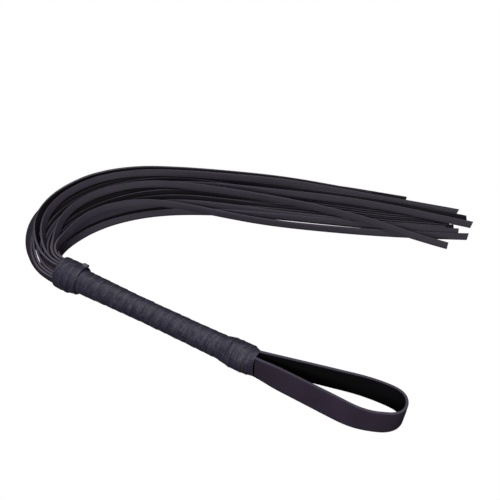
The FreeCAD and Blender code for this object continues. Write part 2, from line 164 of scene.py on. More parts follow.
class Graph:
    """A node tree with one way to add nodes."""

    def __init__(self, tree):
        self.tree = tree

    def feed(self, socket, value):
        value = getattr(value, "socket", value)
        if isinstance(value, bpy.types.NodeSocket):
            self.tree.links.new(value, socket)
        elif socket.type == "RGBA":
            socket.default_value = (*value[:3], 1)
        else:
            socket.default_value = value

    def node(self, kind, settings=(), sockets=()):
        """A node of a type, with its settings and then the values or links of its sockets."""
        made = self.tree.nodes.new(kind)
        for name, value in dict(settings).items():
            setattr(made, name, value)
        for key, value in dict(sockets).items():
            self.feed(made.inputs[key], value)
        return made

    def number(self, socket):
        return Number(self, socket)


class Number:
    """A number on its way through a node tree: arithmetic on it adds Math nodes."""

    def __init__(self, graph, socket):
        self.graph = graph
        self.socket = socket

    def math(self, operation, *terms, clamp=False):
        settings = {"operation": operation, "use_clamp": clamp}
        made = self.graph.node("ShaderNodeMath", settings, dict(enumerate(terms)))
        return Number(self.graph, made.outputs[0])

    def __add__(self, other):
        return self.math("ADD", self, other)

    def __sub__(self, other):
        return self.math("SUBTRACT", self, other)

    def __rsub__(self, other):
        return self.math("SUBTRACT", other, self)

    def __mul__(self, other):
        return self.math("MULTIPLY", self, other)

    def above(self, edge):
        return self.math("GREATER_THAN", self, edge)

    def held(self):
        """Kept between 0 and 1."""
        return self.math("ADD", self, 0.0, clamp=True)

    __radd__ = __add__
    __rmul__ = __mul__


class Finish(Graph):
    """A procedural material."""

    def __init__(self, name):
        self.material = bpy.data.materials.new(name)
        self.material.use_nodes = True
        super().__init__(self.material.node_tree)
        self.tree.nodes.clear()

    def attribute(self, name):
        return self.number(self.node("ShaderNodeAttribute", {"attribute_name": name}).outputs["Fac"])

    def vector(self, x, y, z=0.0):
        return self.node("ShaderNodeCombineXYZ", (), {"X": x, "Y": y, "Z": z}).outputs[0]

    def object_place(self):
        return self.node("ShaderNodeTexCoord").outputs["Object"]

    def stretched(self, vector, scale):
        return self.node("ShaderNodeMapping", (), {"Vector": vector, "Scale": scale}).outputs[0]

    def noise(self, vector, scale, detail=2.0):
        sockets = {"Vector": vector, "Scale": scale, "Detail": detail}
        return self.number(self.node("ShaderNodeTexNoise", (), sockets).outputs[0])

    def cells(self, vector, scale):
        """Distance to the nearest edge of pebbled cells."""
        sockets = {"Vector": vector, "Scale": scale}
        cells = self.node("ShaderNodeTexVoronoi", {"feature": "DISTANCE_TO_EDGE"}, sockets)
        return self.number(cells.outputs[0])

    def mixed(self, share, first, second):
        settings = {"data_type": "RGBA"}
        return self.node("ShaderNodeMix", settings, {0: share, 6: first, 7: second}).outputs[2]

    def surface(self, colour, roughness, height=None, depth=0.0, gloss=0.5, metallic=0.0):
        """Ends the material. height is a bump of the given depth in metres."""
        sockets = {
            "Base Color": colour,
            "Roughness": roughness,
            "Metallic": metallic,
            "Specular IOR Level": gloss,
        }
        if height is not None:
            bump = {"Height": height, "Distance": depth, "Strength": 1.0}
            sockets["Normal"] = self.node("ShaderNodeBump", (), bump).outputs[0]
        shader = self.node("ShaderNodeBsdfPrincipled", (), sockets)
        self.node("ShaderNodeOutputMaterial", (), {"Surface": shader.outputs[0]})
        return self.material


def shade(colour, factor):
    return [channel * factor for channel in colour]


def strip_leather(name, face, edge, flesh, roughness, pebble):
    """Coated split leather for a strip: a pebbled face, a fibrous flesh side and raw cut edges; the flesh
    colour is painted shade, and on the falls the edge colour is partly a painted highlight.
    """
    finish = Finish(name)
    lay = finish.vector(finish.attribute("along"), finish.attribute("across"))
    on_edge = finish.attribute("edge")
    on_flesh_shade = finish.attribute("flesh")
    pebbles = (finish.cells(lay, 1 / pebble) * 3.0).held()
    mottle = finish.noise(lay, 45, 4.0)
    fibre = finish.noise(finish.stretched(lay, (500, 2600, 1)), 1.0, 3.0)
    edge_patchiness = (finish.noise(lay, 160, 3.0) * 2.4 - 1.0).held()
    coat = finish.mixed(mottle, shade(face, 0.72), shade(face, 1.3))
    # Painted shade: the flesh side is coloured near black, darker than its own tone, to stand for the shade
    # that falls on it between and under the strips.
    coat = finish.mixed(on_flesh_shade, coat, finish.mixed(fibre, shade(flesh, 0.6), shade(flesh, 1.5)))
    # Cut edges: on the falls their light colour is partly the raw cut leather and partly a painted highlight
    # of the light from above, made patchy by the noise above.
    cut = finish.mixed(fibre, shade(edge, 0.7), shade(edge, 1.3))
    colour = finish.mixed((on_edge * (0.7 + edge_patchiness * 0.3)).held(), coat, cut)
    rough = (roughness + (mottle - 0.5) * 0.16 + on_flesh_shade * 0.22 + on_edge * 0.14 + fibre * 0.06).held()
    height = pebbles * (1 - on_edge) * (1 - on_flesh_shade) + fibre * (on_edge + on_flesh_shade) * 0.8 + mottle * 0.4
    return finish.surface(colour, rough, height, 0.00006, gloss=0.12)


def ribbon_leather(name, face, edge, roughness):
    """Thin coated ribbon pulled tight: fine grain, pull creases across it and pale cut edges, lightened
    further as a painted highlight.
    """
    finish = Finish(name)
    along, across = finish.attribute("along"), finish.attribute("across")
    lay = finish.vector(along, across)
    on_edge = finish.attribute("edge")
    grain = finish.noise(lay, 1300, 3.0)
    mottle = finish.noise(lay, 230, 4.0)
    streaks = finish.noise(finish.vector(along * 90, across * 900), 1.0, 4.0)
    creases = finish.noise(finish.vector(along * 330 + across * 140, across * 160), 1.0, 4.0)
    pulled = (creases * 3.2 - 1.3).held()
    scuffed = (streaks * 3.4 - 1.5).held() * (mottle * 2.0 - 0.5).held()
    colour = finish.mixed(mottle, shade(face, 0.65), shade(face, 1.4))
    colour = finish.mixed(pulled * 0.35, colour, shade(face, 2.2))
    colour = finish.mixed(scuffed * 0.55, colour, edge)
    # Light lines at the cut edges, uneven along the ribbon: partly the pale cut edge and partly a painted
    # highlight where the raised edges catch the light.
    edge_and_glint_strength = (finish.noise(finish.vector(along * 110, 0.0), 1.0, 3.0) * 3.0 - 0.9).held()
    colour = finish.mixed(on_edge * edge_and_glint_strength * 0.9, colour, edge)
    rough = (roughness + (mottle - 0.5) * 0.24 + on_edge * 0.2 + grain * 0.1).held()
    height = pulled * 1.3 + scuffed * 0.5 + mottle * 1.4 + grain * 0.5
    return finish.surface(colour, rough, height, 0.00022, gloss=0.35)


def solid_finish(name, colour, roughness, grain, depth, metallic=0.0):
    """A finish for a small solid piece: colour and roughness follow a stretched grain."""
    finish = Finish(name)
    lay = finish.stretched(finish.object_place(), grain)
    streaks = finish.noise(lay, 1.0, 4.0)
    tone = finish.mixed(streaks, shade(colour, 0.6), shade(colour, 1.4))
    rough = (roughness + (streaks - 0.5) * 0.25).held()
    return finish.surface(tone, rough, streaks, depth, metallic=metallic)


def dress(node, material):
    """Gives a CAD node its finish."""
    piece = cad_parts[node]
    if not piece.material_slots:
        piece.data.materials.append(material)
    for slot in piece.material_slots:
        slot.material = material


def new_piece(name, mesh, material=None):
    piece = bpy.data.objects.new(name, mesh)
    bpy.context.scene.collection.objects.link(piece)
    if material:
        mesh.materials.clear()
        mesh.materials.append(material)
    return piece


def strip_outline(width, thickness, corner, cup, flesh_side, corner_steps=2, face_steps=3):
    """A strip's section as (across, through, edge, flesh), starting in its lower cut edge."""
    half_width, half_thickness = width / 2, thickness / 2
    outline = []
    for n, (side, lift) in enumerate(((1, -1), (1, 1), (-1, 1), (-1, -1))):
        for step in range(corner_steps + 1):
            angle = math.radians(90 * (n - 1 + step / corner_steps))
            across = lift * (half_width - corner) + corner * math.sin(angle)
            through = side * (half_thickness - corner) + corner * math.cos(angle)
            edge = math.sin(angle) ** 2
            flesh = (1 - edge) if side == flesh_side else 0.0
            outline.append((across, through, edge, flesh))
        if lift == -side:
            for step in range(1, face_steps + 1):
                share = 2 * step / (face_steps + 1) - 1
                across = lift * share * (half_width - corner)
                hollow = cup * (1 - share * share)
                outline.append((across, side * half_thickness - hollow, 0.0, float(side == flesh_side)))
    return outline


def swept_strip(name, path, leans, outline, slant=0.0):
    """A closed strip along a path. A lean turns its top towards the path's left-hand side."""
    bm = bmesh.new()
    layers = [bm.verts.layers.float.new(key) for key in LAYERS]
    rings = []
    travelled = 0.0
    last = len(path) - 1
    for n, place in enumerate(path):
        ahead = (path[min(n + 1, last)] - path[max(n - 1, 0)]).normalized()
        side = UP.cross(ahead).normalized()
        upright = ahead.cross(side)
        turn = math.radians(leans[n])
        across_way = upright * math.cos(turn) + side * math.sin(turn)
        through_way = side * math.cos(turn) - upright * math.sin(turn)
        travelled += (place - path[max(n - 1, 0)]).length
        girth = 0.0
        ring = []
        for k, (across, through, edge, flesh) in enumerate(outline):
            girth += math.dist((across, through), outline[max(k - 1, 0)][:2])
            skew = ahead * (slant * across) if n == last else Vector()
            vert = bm.verts.new(place + across_way * across + through_way * through + skew)
            for layer, value in zip(layers, (travelled, girth, edge, flesh)):
                vert[layer] = value
            ring.append(vert)
        rings.append(ring)
    for ring, following in zip(rings, rings[1:]):
        for k in range(len(ring)):
            bm.faces.new((ring[k - 1], ring[k], following[k], following[k - 1]))
    bm.faces.new(rings[0])
    bm.faces.new(rings[-1])
    return finished_mesh(name, bm)


def finished_mesh(name, bm, sharp=40):
    """A mesh with outward faces, smooth but for its sharp edges."""
    bmesh.ops.recalc_face_normals(bm, faces=bm.faces)
    for face in bm.faces:
        face.smooth = True
    mesh = bpy.data.meshes.new(name)
    bm.to_mesh(mesh)
    bm.free()
    mesh.set_sharp_from_angle(angle=math.radians(sharp))
    return mesh


def smooth_line(name, points):
    """The points of a smooth spline that has the given control points."""
    data = bpy.data.curves.new(name, "CURVE")
    data.dimensions = "3D"
    data.resolution_u = 12
    spline = data.splines.new("NURBS")
    spline.points.add(len(points) - 1)
    for target, place in zip(spline.points, points):
        target.co = (*place, 1)
    spline.use_endpoint_u = True
    spline.order_u = 3
    route = bpy.data.objects.new(name, data)
    mesh = bpy.data.meshes.new_from_object(route)
    line = [vertex.co.copy() for vertex in mesh.vertices]
    bpy.data.objects.remove(route)
    bpy.data.meshes.remove(mesh)
    return line


def length_of(line):
    return sum((b - a).length for a, b in zip(line, line[1:]))


class FallSettings(bpy.types.PropertyGroup):
    width: FloatProperty(name="Width", description="Width of a fall", default=0.006, unit="LENGTH")
    thickness: FloatProperty(
        name="Thickness", description="Thickness of a fall", default=0.002, unit="LENGTH"
    )
    corner: FloatProperty(
        name="Corner", description="Rounding of the cut edges", default=0.00035, unit="LENGTH"
    )
    cup: FloatProperty(name="Cup", description="Hollow of the faces", default=0.00008, unit="LENGTH")
    waver: FloatProperty(name="Waver", description="How far the lean wanders, in degrees", default=6.0)
    seed: IntProperty(name="Seed", description="Chooses how each fall wanders", default=7)
    face: FloatVectorProperty(
        name="Face", description="Coated face", subtype="COLOR", default=(0.025, 0.0203, 0.0298)
    )
    # Edge colour: raw cut leather, lightened as a painted highlight of the strips' lit top edges.
    edge: FloatVectorProperty(
        name="Edge", description="Raw cut edge", subtype="COLOR", default=(0.078, 0.067, 0.09)
    )
    # Flesh colour: near black, painted shade for the strips lower in the pile that turn this side towards the
    # handle.
    flesh: FloatVectorProperty(
        name="Flesh", description="Flesh side", subtype="COLOR", default=(0.0026, 0.002, 0.0034)
    )


class WrapSettings(bpy.types.PropertyGroup):
    pitch: FloatProperty(name="Pitch", description="Advance of a turn", default=0.0088, unit="LENGTH")
    width: FloatProperty(name="Ribbon", description="Width of the ribbon", default=0.0122, unit="LENGTH")
    thickness: FloatProperty(
        name="Thickness", description="Thickness of the ribbon", default=0.00034, unit="LENGTH"
    )
    unevenness: FloatProperty(
        name="Unevenness", description="How far a turn strays along the grip", default=0.0034, unit="LENGTH"
    )
    lumps: FloatProperty(
        name="Lumps", description="Unevenness of the surface", default=0.0003, unit="LENGTH"
    )
    waist: FloatProperty(
        name="Waist", description="How much slimmer the middle of the grip is", default=0.0006, unit="LENGTH"
    )
    face: FloatVectorProperty(
        name="Face", description="Ribbon's face", subtype="COLOR", default=(0.0108, 0.0092, 0.0195)
    )
    # Edge colour: pale cut edge, lightened as a painted highlight where the turns' raised edges catch the
    # light.
    edge: FloatVectorProperty(
        name="Edge", description="Ribbon's cut edge", subtype="COLOR", default=(0.1, 0.092, 0.14)
    )


class LoopSettings(bpy.types.PropertyGroup):
    width: FloatProperty(name="Width", description="Width of the strap", default=0.0215, unit="LENGTH")
    thickness: FloatProperty(
        name="Thickness", description="Strap leather", default=0.0024, unit="LENGTH"
    )
    apart: FloatProperty(
        name="Apart",
        description="Middle to middle of the tails at the butt",
        default=TAIL_HIGH.y - TAIL_LOW.y - 0.0024,
        unit="LENGTH",
    )
    tip_radius: FloatProperty(
        name="Tip radius", description="Bend at the tip", default=0.0122, unit="LENGTH"
    )
    near_radius: FloatProperty(
        name="Near radius", description="Bend of the near leg", default=0.06, unit="LENGTH"
    )
    turn_in: FloatProperty(
        name="Turn in", description="Where the near bend meets the tip, degrees", default=-56
    )
    side_radius: FloatProperty(
        name="Side radius", description="Bow of the far leg", default=0.145, unit="LENGTH"
    )
    face: FloatVectorProperty(
        name="Face", description="Outer face", subtype="COLOR", default=(0.0255, 0.0185, 0.0315)
    )
    edge: FloatVectorProperty(
        name="Edge", description="Burnished cut edge", subtype="COLOR", default=(0.055, 0.048, 0.066)
    )
    # Lining colour: near black, partly the flesh side's own dark tone and partly painted shade from the near
    # leg.
    flesh: FloatVectorProperty(
        name="Lining", description="Inner face", subtype="COLOR", default=(0.0004, 0.0003, 0.0009)
    )


class StageSettings(bpy.types.PropertyGroup):
    target: FloatVectorProperty(
        name="Target",
        description="Point that the camera faces",
        subtype="XYZ",
        default=(-0.03674, 0.09972, 0.01),
    )
    distance: FloatProperty(name="Distance", description="Camera to target", default=1.05, unit="LENGTH")
    azimuth: FloatProperty(
        name="Azimuth", description="Way that the camera looks, degrees", default=31.32
    )
    elevation: FloatProperty(name="Elevation", description="Height of the view, degrees", default=45.0)
    lens: FloatProperty(name="Lens", description="Focal length, millimetres", default=88.16)
    floor: FloatVectorProperty(
        name="Floor", description="Floor colour", subtype="COLOR", default=(0.08, 0.08, 0.08)
    )


class WHIP_OT_stage(bpy.types.Operator):
    """Camera, floor and soft studio light"""

    bl_idname = "whip.stage"
    bl_label = "Studio"

    AMBIENT = 0.05
    SENSOR = 36
    FLOOR_HALF = 4
    LIT_SPOT = Vector((0, 0.08, 0))
    # Name, place, size in metres and power in watts.
    LIGHTS = (
        ("overhead", (-0.25, 0.25, 1.3), 0.9, 15.0),
        ("front", (0.45, -1.0, 0.85), 0.6, 19.0),
    )

    def execute(self, context):
        settings = context.scene.whip_stage
        self.camera(context, settings)
        self.floor(settings)
        self.lights(context)
        return {"FINISHED"}

    def camera(self, context, settings):
        data = bpy.data.cameras.new("camera")
        data.sensor_width = self.SENSOR
        data.lens = settings.lens
        camera = bpy.data.objects.new("camera", data)
        turn, rise = math.radians(settings.azimuth), math.radians(settings.elevation)
        back = Vector((math.sin(turn) * math.cos(rise), -math.cos(turn) * math.cos(rise), math.sin(rise)))
        camera.location = Vector(settings.target) + back * settings.distance
        camera.rotation_euler = (-back).to_track_quat("-Z", "Y").to_euler()
        context.scene.collection.objects.link(camera)
        context.scene.camera = camera

    def floor(self, settings):
        bm = bmesh.new()
        bmesh.ops.create_grid(bm, x_segments=1, y_segments=1, size=self.FLOOR_HALF)
        finish = Finish("floor_paper")
        seen = finish.node("ShaderNodeLightPath").outputs["Is Camera Ray"]
        paper = finish.node("ShaderNodeBsdfDiffuse", (), {"Color": settings.floor}).outputs[0]
        glow = finish.node("ShaderNodeEmission", (), {"Color": (1, 1, 1), "Strength": 1.0}).outputs[0]
        both = finish.node("ShaderNodeMixShader", (), {0: seen, 1: paper, 2: glow}).outputs[0]
        finish.node("ShaderNodeOutputMaterial", (), {"Surface": both})
        new_piece("floor", finished_mesh("floor", bm), finish.material)

    def lights(self, context):
        world = bpy.data.worlds.new("studio")
        world.use_nodes = True
        world.node_tree.nodes.clear()
        sky = Graph(world.node_tree)
        seen = sky.number(sky.node("ShaderNodeLightPath").outputs["Is Camera Ray"])
        strength = seen * (1.0 - self.AMBIENT) + self.AMBIENT
        glow = sky.node("ShaderNodeBackground", (), {"Color": (1, 1, 1), "Strength": strength}).outputs[0]
        sky.node("ShaderNodeOutputWorld", (), {"Surface": glow})
        context.scene.world = world
        context.scene.view_settings.view_transform = "Standard"
        for name, place, size, power in self.LIGHTS:
            data = bpy.data.lights.new(name, "AREA")
            data.size = size
            data.energy = power
            light = bpy.data.objects.new(name, data)
            light.location = place
            light.rotation_euler = (self.LIT_SPOT - Vector(place)).to_track_quat("-Z", "Y").to_euler()
            context.scene.collection.objects.link(light)


class WHIP_OT_falls(bpy.types.Operator):
    """The falls: flat strips that leave the collar, turn back and lie on each other"""

    bl_idname = "whip.falls"
    bl_label = "Falls"

    # A way from the mouth and two distances along it, for a bend of a fall's first stretch; nothing reads
    # them.
    BEND_WAY = Vector((-0.3, 0.954, 0))
    BEND_FROM = 0.004
    BEND_TO = 0.055
    ROUGHNESS = 0.5
    PEBBLE = 0.0007
    # How far the cut at the tip may slant, along for each metre across.
    SLANT = 0.35
    DECLARED_STEP = 5 * MM
    # From the first of these lanes to the second, the outer leans take over.
    OUTER_LANES = (74, 96)
    # The falls that lie with their flesh side towards the handle, so that its near-black colour stands as
    # painted shade between the lit strips on top.
    FLESH_SHADE_IN = (
        "fall_02", "fall_03", "fall_04", "fall_05", "fall_06", "fall_07",
        "fall_09", "fall_10", "fall_11", "fall_13", "fall_14", "fall_15", "fall_16", "fall_20",
    )

    def execute(self, context):
        settings = context.scene.whip_falls
        colours = (settings.face, settings.edge, settings.flesh)
        leather = strip_leather("fall_leather", *colours, self.ROUGHNESS, self.PEBBLE)
        for number, name in enumerate(FALLS):
            self.lay(name, settings, leather, random.Random(settings.seed * 100 + number))
        return {"FINISHED"}

    def lay(self, name, settings, leather, draw):
        way, lanes, end = FALLS[name]
        line = smooth_line(name, fall_route(way, lanes, end))
        leans = self.leans(len(line), lanes, end, settings.waver, draw)
        flesh_side = -1 if name in self.FLESH_SHADE_IN else 1
        sizes = (settings.width, settings.thickness, settings.corner, settings.cup)
        outline = strip_outline(*sizes, flesh_side)
        mesh = swept_strip(name + "_strip", line, leans, outline, draw.uniform(-self.SLANT, self.SLANT))
        piece = new_piece(name + "_strip", mesh, leather)
        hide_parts(name)
        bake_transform(piece)
        round(length_of(line) / self.DECLARED_STEP) * self.DECLARED_STEP

    def leans(self, count, lanes, end, waver, draw):
        """The lean at each point of a fall, with its own slow wander and a turn at the tip."""
        phases = [draw.uniform(0, 2 * math.pi) for _ in range(2)]
        own = draw.uniform(-0.6, 0.6)
        curl = draw.uniform(-1.5, 1.5)
        found = []
        for n in range(count):
            place = end * n / (count - 1)
            wander = own + 0.5 * math.sin(place * 0.9 + phases[0]) + 0.3 * math.sin(place * 2.1 + phases[1])
            free = min(1.0, place / 3)
            tip = max(0.0, place - end + 2) / 2
            outwards = smooth_step(at_station(place, lanes), *self.OUTER_LANES)
            inner, outer = at_station(place, INNER_LEANS), at_station(place, OUTER_LEANS)
            lean = inner + (outer - inner) * outwards
            found.append(lean + waver * (wander * free + curl * tip * tip))
        return found


POINTS_A_TURN = 72
STRAYS_A_METRE = 14
LUMPS_A_METRE = 110


def ribbon_plan():
    """A wound ribbon: overlapped turns round the X axis, from a spiral and a slanted section."""
    tree = bpy.data.node_groups.new("wound_ribbon", "GeometryNodeTree")
    tree.interface.new_socket("Geometry", in_out="OUTPUT", socket_type="NodeSocketGeometry")
    tree.interface.new_socket("Geometry", in_out="INPUT", socket_type="NodeSocketGeometry")
    for name, kind in (
        ("Turns", "Float"),
        ("Pitch", "Float"),
        ("Radius", "Float"),
        ("Width", "Float"),
        ("Thickness", "Float"),
        ("Slant", "Float"),
        ("Unevenness", "Float"),
        ("Seed", "Float"),
        ("Finish", "Material"),
    ):
        tree.interface.new_socket(name, in_out="INPUT", socket_type="NodeSocket" + kind)
    plan = Graph(tree)
    given = plan.node("NodeGroupInput").outputs
    turns, width, thickness = (plan.number(given[name]) for name in ("Turns", "Width", "Thickness"))
    spiral = plan.node("GeometryNodeCurveSpiral", (), {
        "Resolution": POINTS_A_TURN,
        "Rotations": turns,
        "Start Radius": given["Radius"],
        "End Radius": given["Radius"],
        "Height": turns * given["Pitch"],
        "Reverse": False,
    })
    travelled = plan.number(plan.node("GeometryNodeSplineParameter").outputs["Length"])
    marked = stored(plan, spiral.outputs[0], "along", travelled)
    stray = plan.node("ShaderNodeTexNoise", {"noise_dimensions": "1D"}, {
        "W": travelled * STRAYS_A_METRE + given["Seed"],
        "Scale": 1.0,
        "Detail": 1.0,
    })
    shift = (plan.number(stray.outputs[0]) - 0.5) * given["Unevenness"]
    offset = plan.node("ShaderNodeCombineXYZ", (), {"Z": shift})
    strayed = plan.node("GeometryNodeSetPosition", (), {"Geometry": marked, "Offset": offset.outputs[0]})
    upright = plan.node("GeometryNodeSetCurveNormal", {"mode": "Z_UP"}, {"Curve": strayed.outputs[0]})
    box = plan.node("GeometryNodeCurvePrimitiveQuadrilateral", (), {"Width": thickness, "Height": width})
    rounded = plan.node("GeometryNodeFilletCurve", {"mode": "POLY"}, {
        "Curve": box.outputs[0],
        "Count": 2,
        "Radius": thickness * 0.3,
    })
    height = plan.node("GeometryNodeInputPosition")
    split = plan.node("ShaderNodeSeparateXYZ", (), {"Vector": height.outputs[0]})
    across = plan.number(split.outputs["Y"])
    section = stored(plan, rounded.outputs[0], "across", across)
    on_edge = across.math("ABSOLUTE", across).above(width * 0.5 - thickness * 0.25)
    section = stored(plan, section, "edge", on_edge)
    turn = plan.node("ShaderNodeCombineXYZ", (), {"Z": given["Slant"]})
    slanted = plan.node("GeometryNodeTransform", (), {"Geometry": section, "Rotation": turn.outputs[0]})
    wound = plan.node("GeometryNodeCurveToMesh", (), {
        "Curve": upright.outputs[0],
        "Profile Curve": slanted.outputs[0],
        "Fill Caps": True,
    })
    laid = plan.node("GeometryNodeTransform", (), {
        "Geometry": wound.outputs[0],
        "Rotation": (0, math.pi / 2, 0),
    })
    real = plan.node("GeometryNodeRealizeInstances", (), {"Geometry": laid.outputs[0]})
    finished = plan.node("GeometryNodeSetMaterial", (), {
        "Geometry": real.outputs[0],
        "Material": given["Finish"],
    })
    plan.node("NodeGroupOutput", (), {0: finished.outputs[0]})
    return tree


def stored(plan, geometry, name, value):
    sockets = {"Geometry": geometry, "Name": name, "Value": value}
    settings = {"data_type": "FLOAT", "domain": "POINT"}
    return plan.node("GeometryNodeStoreNamedAttribute", settings, sockets).outputs[0]


def wound_ribbon(name, plan, span, top_radius, mould, settings, seed, finish, **own):
    """Ribbon wound over a span of X and cut off square. mould(x, out) gives a point's way off the axis.

    own holds the sizes in which this ribbon differs from the settings.
    """
    start, end = span
    width = own.get("width", settings.width)
    thickness = own.get("thickness", settings.thickness)
    pitch = own.get("pitch", settings.pitch)
    rise = own.get("rise", thickness * 1.25)
    unevenness = own.get("unevenness", settings.unevenness)
    spare = width + unevenness
    turns = (end - start + 2 * spare) / pitch
    values = {
        "Turns": turns,
        "Pitch": pitch,
        "Radius": top_radius - thickness / 2 - rise / 2,
        "Width": width,
        "Thickness": thickness,
        "Slant": -math.atan2(rise, width),
        "Unevenness": unevenness,
        "Seed": seed,
        "Finish": finish,
    }
    carrier = new_piece(name + "_carrier", bpy.data.meshes.new(name))
    winder = carrier.modifiers.new("ribbon", "NODES")
    winder.node_group = plan
    for item in plan.interface.items_tree:
        if item.name in values:
            winder[item.identifier] = values[item.name]
    graph = bpy.context.evaluated_depsgraph_get()
    raw = bpy.data.meshes.new_from_object(carrier.evaluated_get(graph))
    bm = bmesh.new()
    bm.from_mesh(raw)
    bpy.data.objects.remove(carrier)
    bmesh.ops.translate(bm, verts=bm.verts, vec=(start - spare, AXIS.y, AXIS.z))
    for vert in bm.verts:
        out = Vector((0, vert.co.y - AXIS.y, vert.co.z - AXIS.z))
        lump = settings.lumps * noise.noise(vert.co * LUMPS_A_METRE + Vector((seed, 0, 0)))
        vert.co += mould(vert.co.x, out) - out + out.normalized() * lump
    for x, way in ((start, -1), (end, 1)):
        geometry = [*bm.verts, *bm.edges, *bm.faces]
        cut = bmesh.ops.bisect_plane(
            bm, geom=geometry, plane_co=(x, 0, 0), plane_no=(way, 0, 0), clear_outer=True
        )
        rim = [item for item in cut["geom_cut"] if isinstance(item, bmesh.types.BMEdge)]
        bmesh.ops.holes_fill(bm, edges=rim, sides=0)
    piece = new_piece(name, finished_mesh(name, bm), finish)
    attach(piece, "handle")
    return piece


def smooth_step(value, low, high):
    share = min(max((value - low) / (high - low), 0), 1)
    return share * share * (3 - 2 * share)


class WHIP_OT_wraps(bpy.types.Operator):
    """The ribbon wound over the grip, the collar and the knob"""

    bl_idname = "whip.wraps"
    bl_label = "Wraps"

    COLLAR_SPREAD = 0.0005
    COLLAR_TAPER = 0.0003
    COLLAR_LIP = 0.006
    LIP_DROP = 0.003
    GRIP_SPREAD = 0.0004
    KNOB_RISE = 0.009
    CLOSING = 0.0048
    BUTT_SPREAD = 0.0004
    OVERRUN = 0.0015
    STRAP_BUNDLE = (0.0054, 0.0109)
    ROUGHNESS = 0.5
    GRIP_SEED, COLLAR_SEED, BUTT_SEED = 3.0, 11.0, 19.0
    EVEN = {"unevenness": 0.0012}
    COLLAR_RIBBON = {"width": 0.0135, "thickness": 0.0004, "pitch": 0.0066, "rise": 0.0005, **EVEN}
    BUTT_RIBBON = {"width": 0.0105, "thickness": 0.0003, "pitch": 0.0052, "rise": 0.0003, **EVEN}

    def execute(self, context):
        settings = context.scene.whip_wraps
        plan = ribbon_plan()
        ribbon = ribbon_leather("wrap_ribbon", settings.face, settings.edge, self.ROUGHNESS)
        grip_radius = (GRIP_HIGH.z - GRIP_LOW.z) / 2
        collar_radius = (COLLAR_HIGH.z - COLLAR_LOW.z) / 2
        butt_radius = (BUTT_HIGH.z - BUTT_LOW.z) / 2

        def waist(x, out):
            share = smooth_step(x, GRIP_LOW.x, GRIP_HIGH.x)
            slimmer = settings.waist * (4 * share * (1 - share)) ** 0.7
            return out.normalized() * (out.length + self.GRIP_SPREAD * (1 - share) ** 6 - slimmer)

        def flare(x, out):
            share = (x - COLLAR_LOW.x) / (COLLAR_HIGH.x - COLLAR_LOW.x)
            rear = smooth_step(x, COLLAR_HIGH.x - self.COLLAR_LIP, COLLAR_HIGH.x)
            mouth = 1 - smooth_step(x, COLLAR_LOW.x, COLLAR_LOW.x + self.COLLAR_LIP)
            drop = self.COLLAR_TAPER * share + self.LIP_DROP * (rear * rear + 0.2 * mouth)
            return out.normalized() * (out.length + self.COLLAR_SPREAD - drop)

        def climb(x, out):
            """Up the knob, then in round the legs of the strap."""
            rise = smooth_step(x, BUTT_LOW.x, BUTT_LOW.x + self.KNOB_RISE)
            closed = smooth_step(x, BUTT_HIGH.x - self.CLOSING, BUTT_HIGH.x)
            drop = (butt_radius - grip_radius + self.BUTT_SPREAD) * (1 - rise)
            round_part = out.normalized() * (out.length + self.BUTT_SPREAD - drop)
            aim = out.normalized()
            flat = Vector((0, *(
                size * math.copysign(abs(part) ** (1 / 3), part)
                for size, part in zip(self.STRAP_BUNDLE, (aim.y, aim.z))
            )))
            depth = out.length / butt_radius
            return round_part.lerp(flat * depth, closed)

        grip = wound_ribbon(
            "grip_ribbon", plan, (GRIP_LOW.x, GRIP_HIGH.x), grip_radius, waist, settings,
            self.GRIP_SEED, ribbon,
        )
        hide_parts("grip_wrap")
        collar = wound_ribbon(
            "collar_ribbon", plan, (COLLAR_LOW.x, COLLAR_HIGH.x), collar_radius, flare, settings,
            self.COLLAR_SEED, ribbon, **self.COLLAR_RIBBON,
        )
        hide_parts("collar_wrap")
        butt = wound_ribbon(
            "butt_ribbon", plan, (BUTT_LOW.x, BUTT_HIGH.x + self.OVERRUN), butt_radius, climb, settings,
            self.BUTT_SEED, ribbon, **self.BUTT_RIBBON,
        )
        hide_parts("butt_wrap")
        return {"FINISHED"}


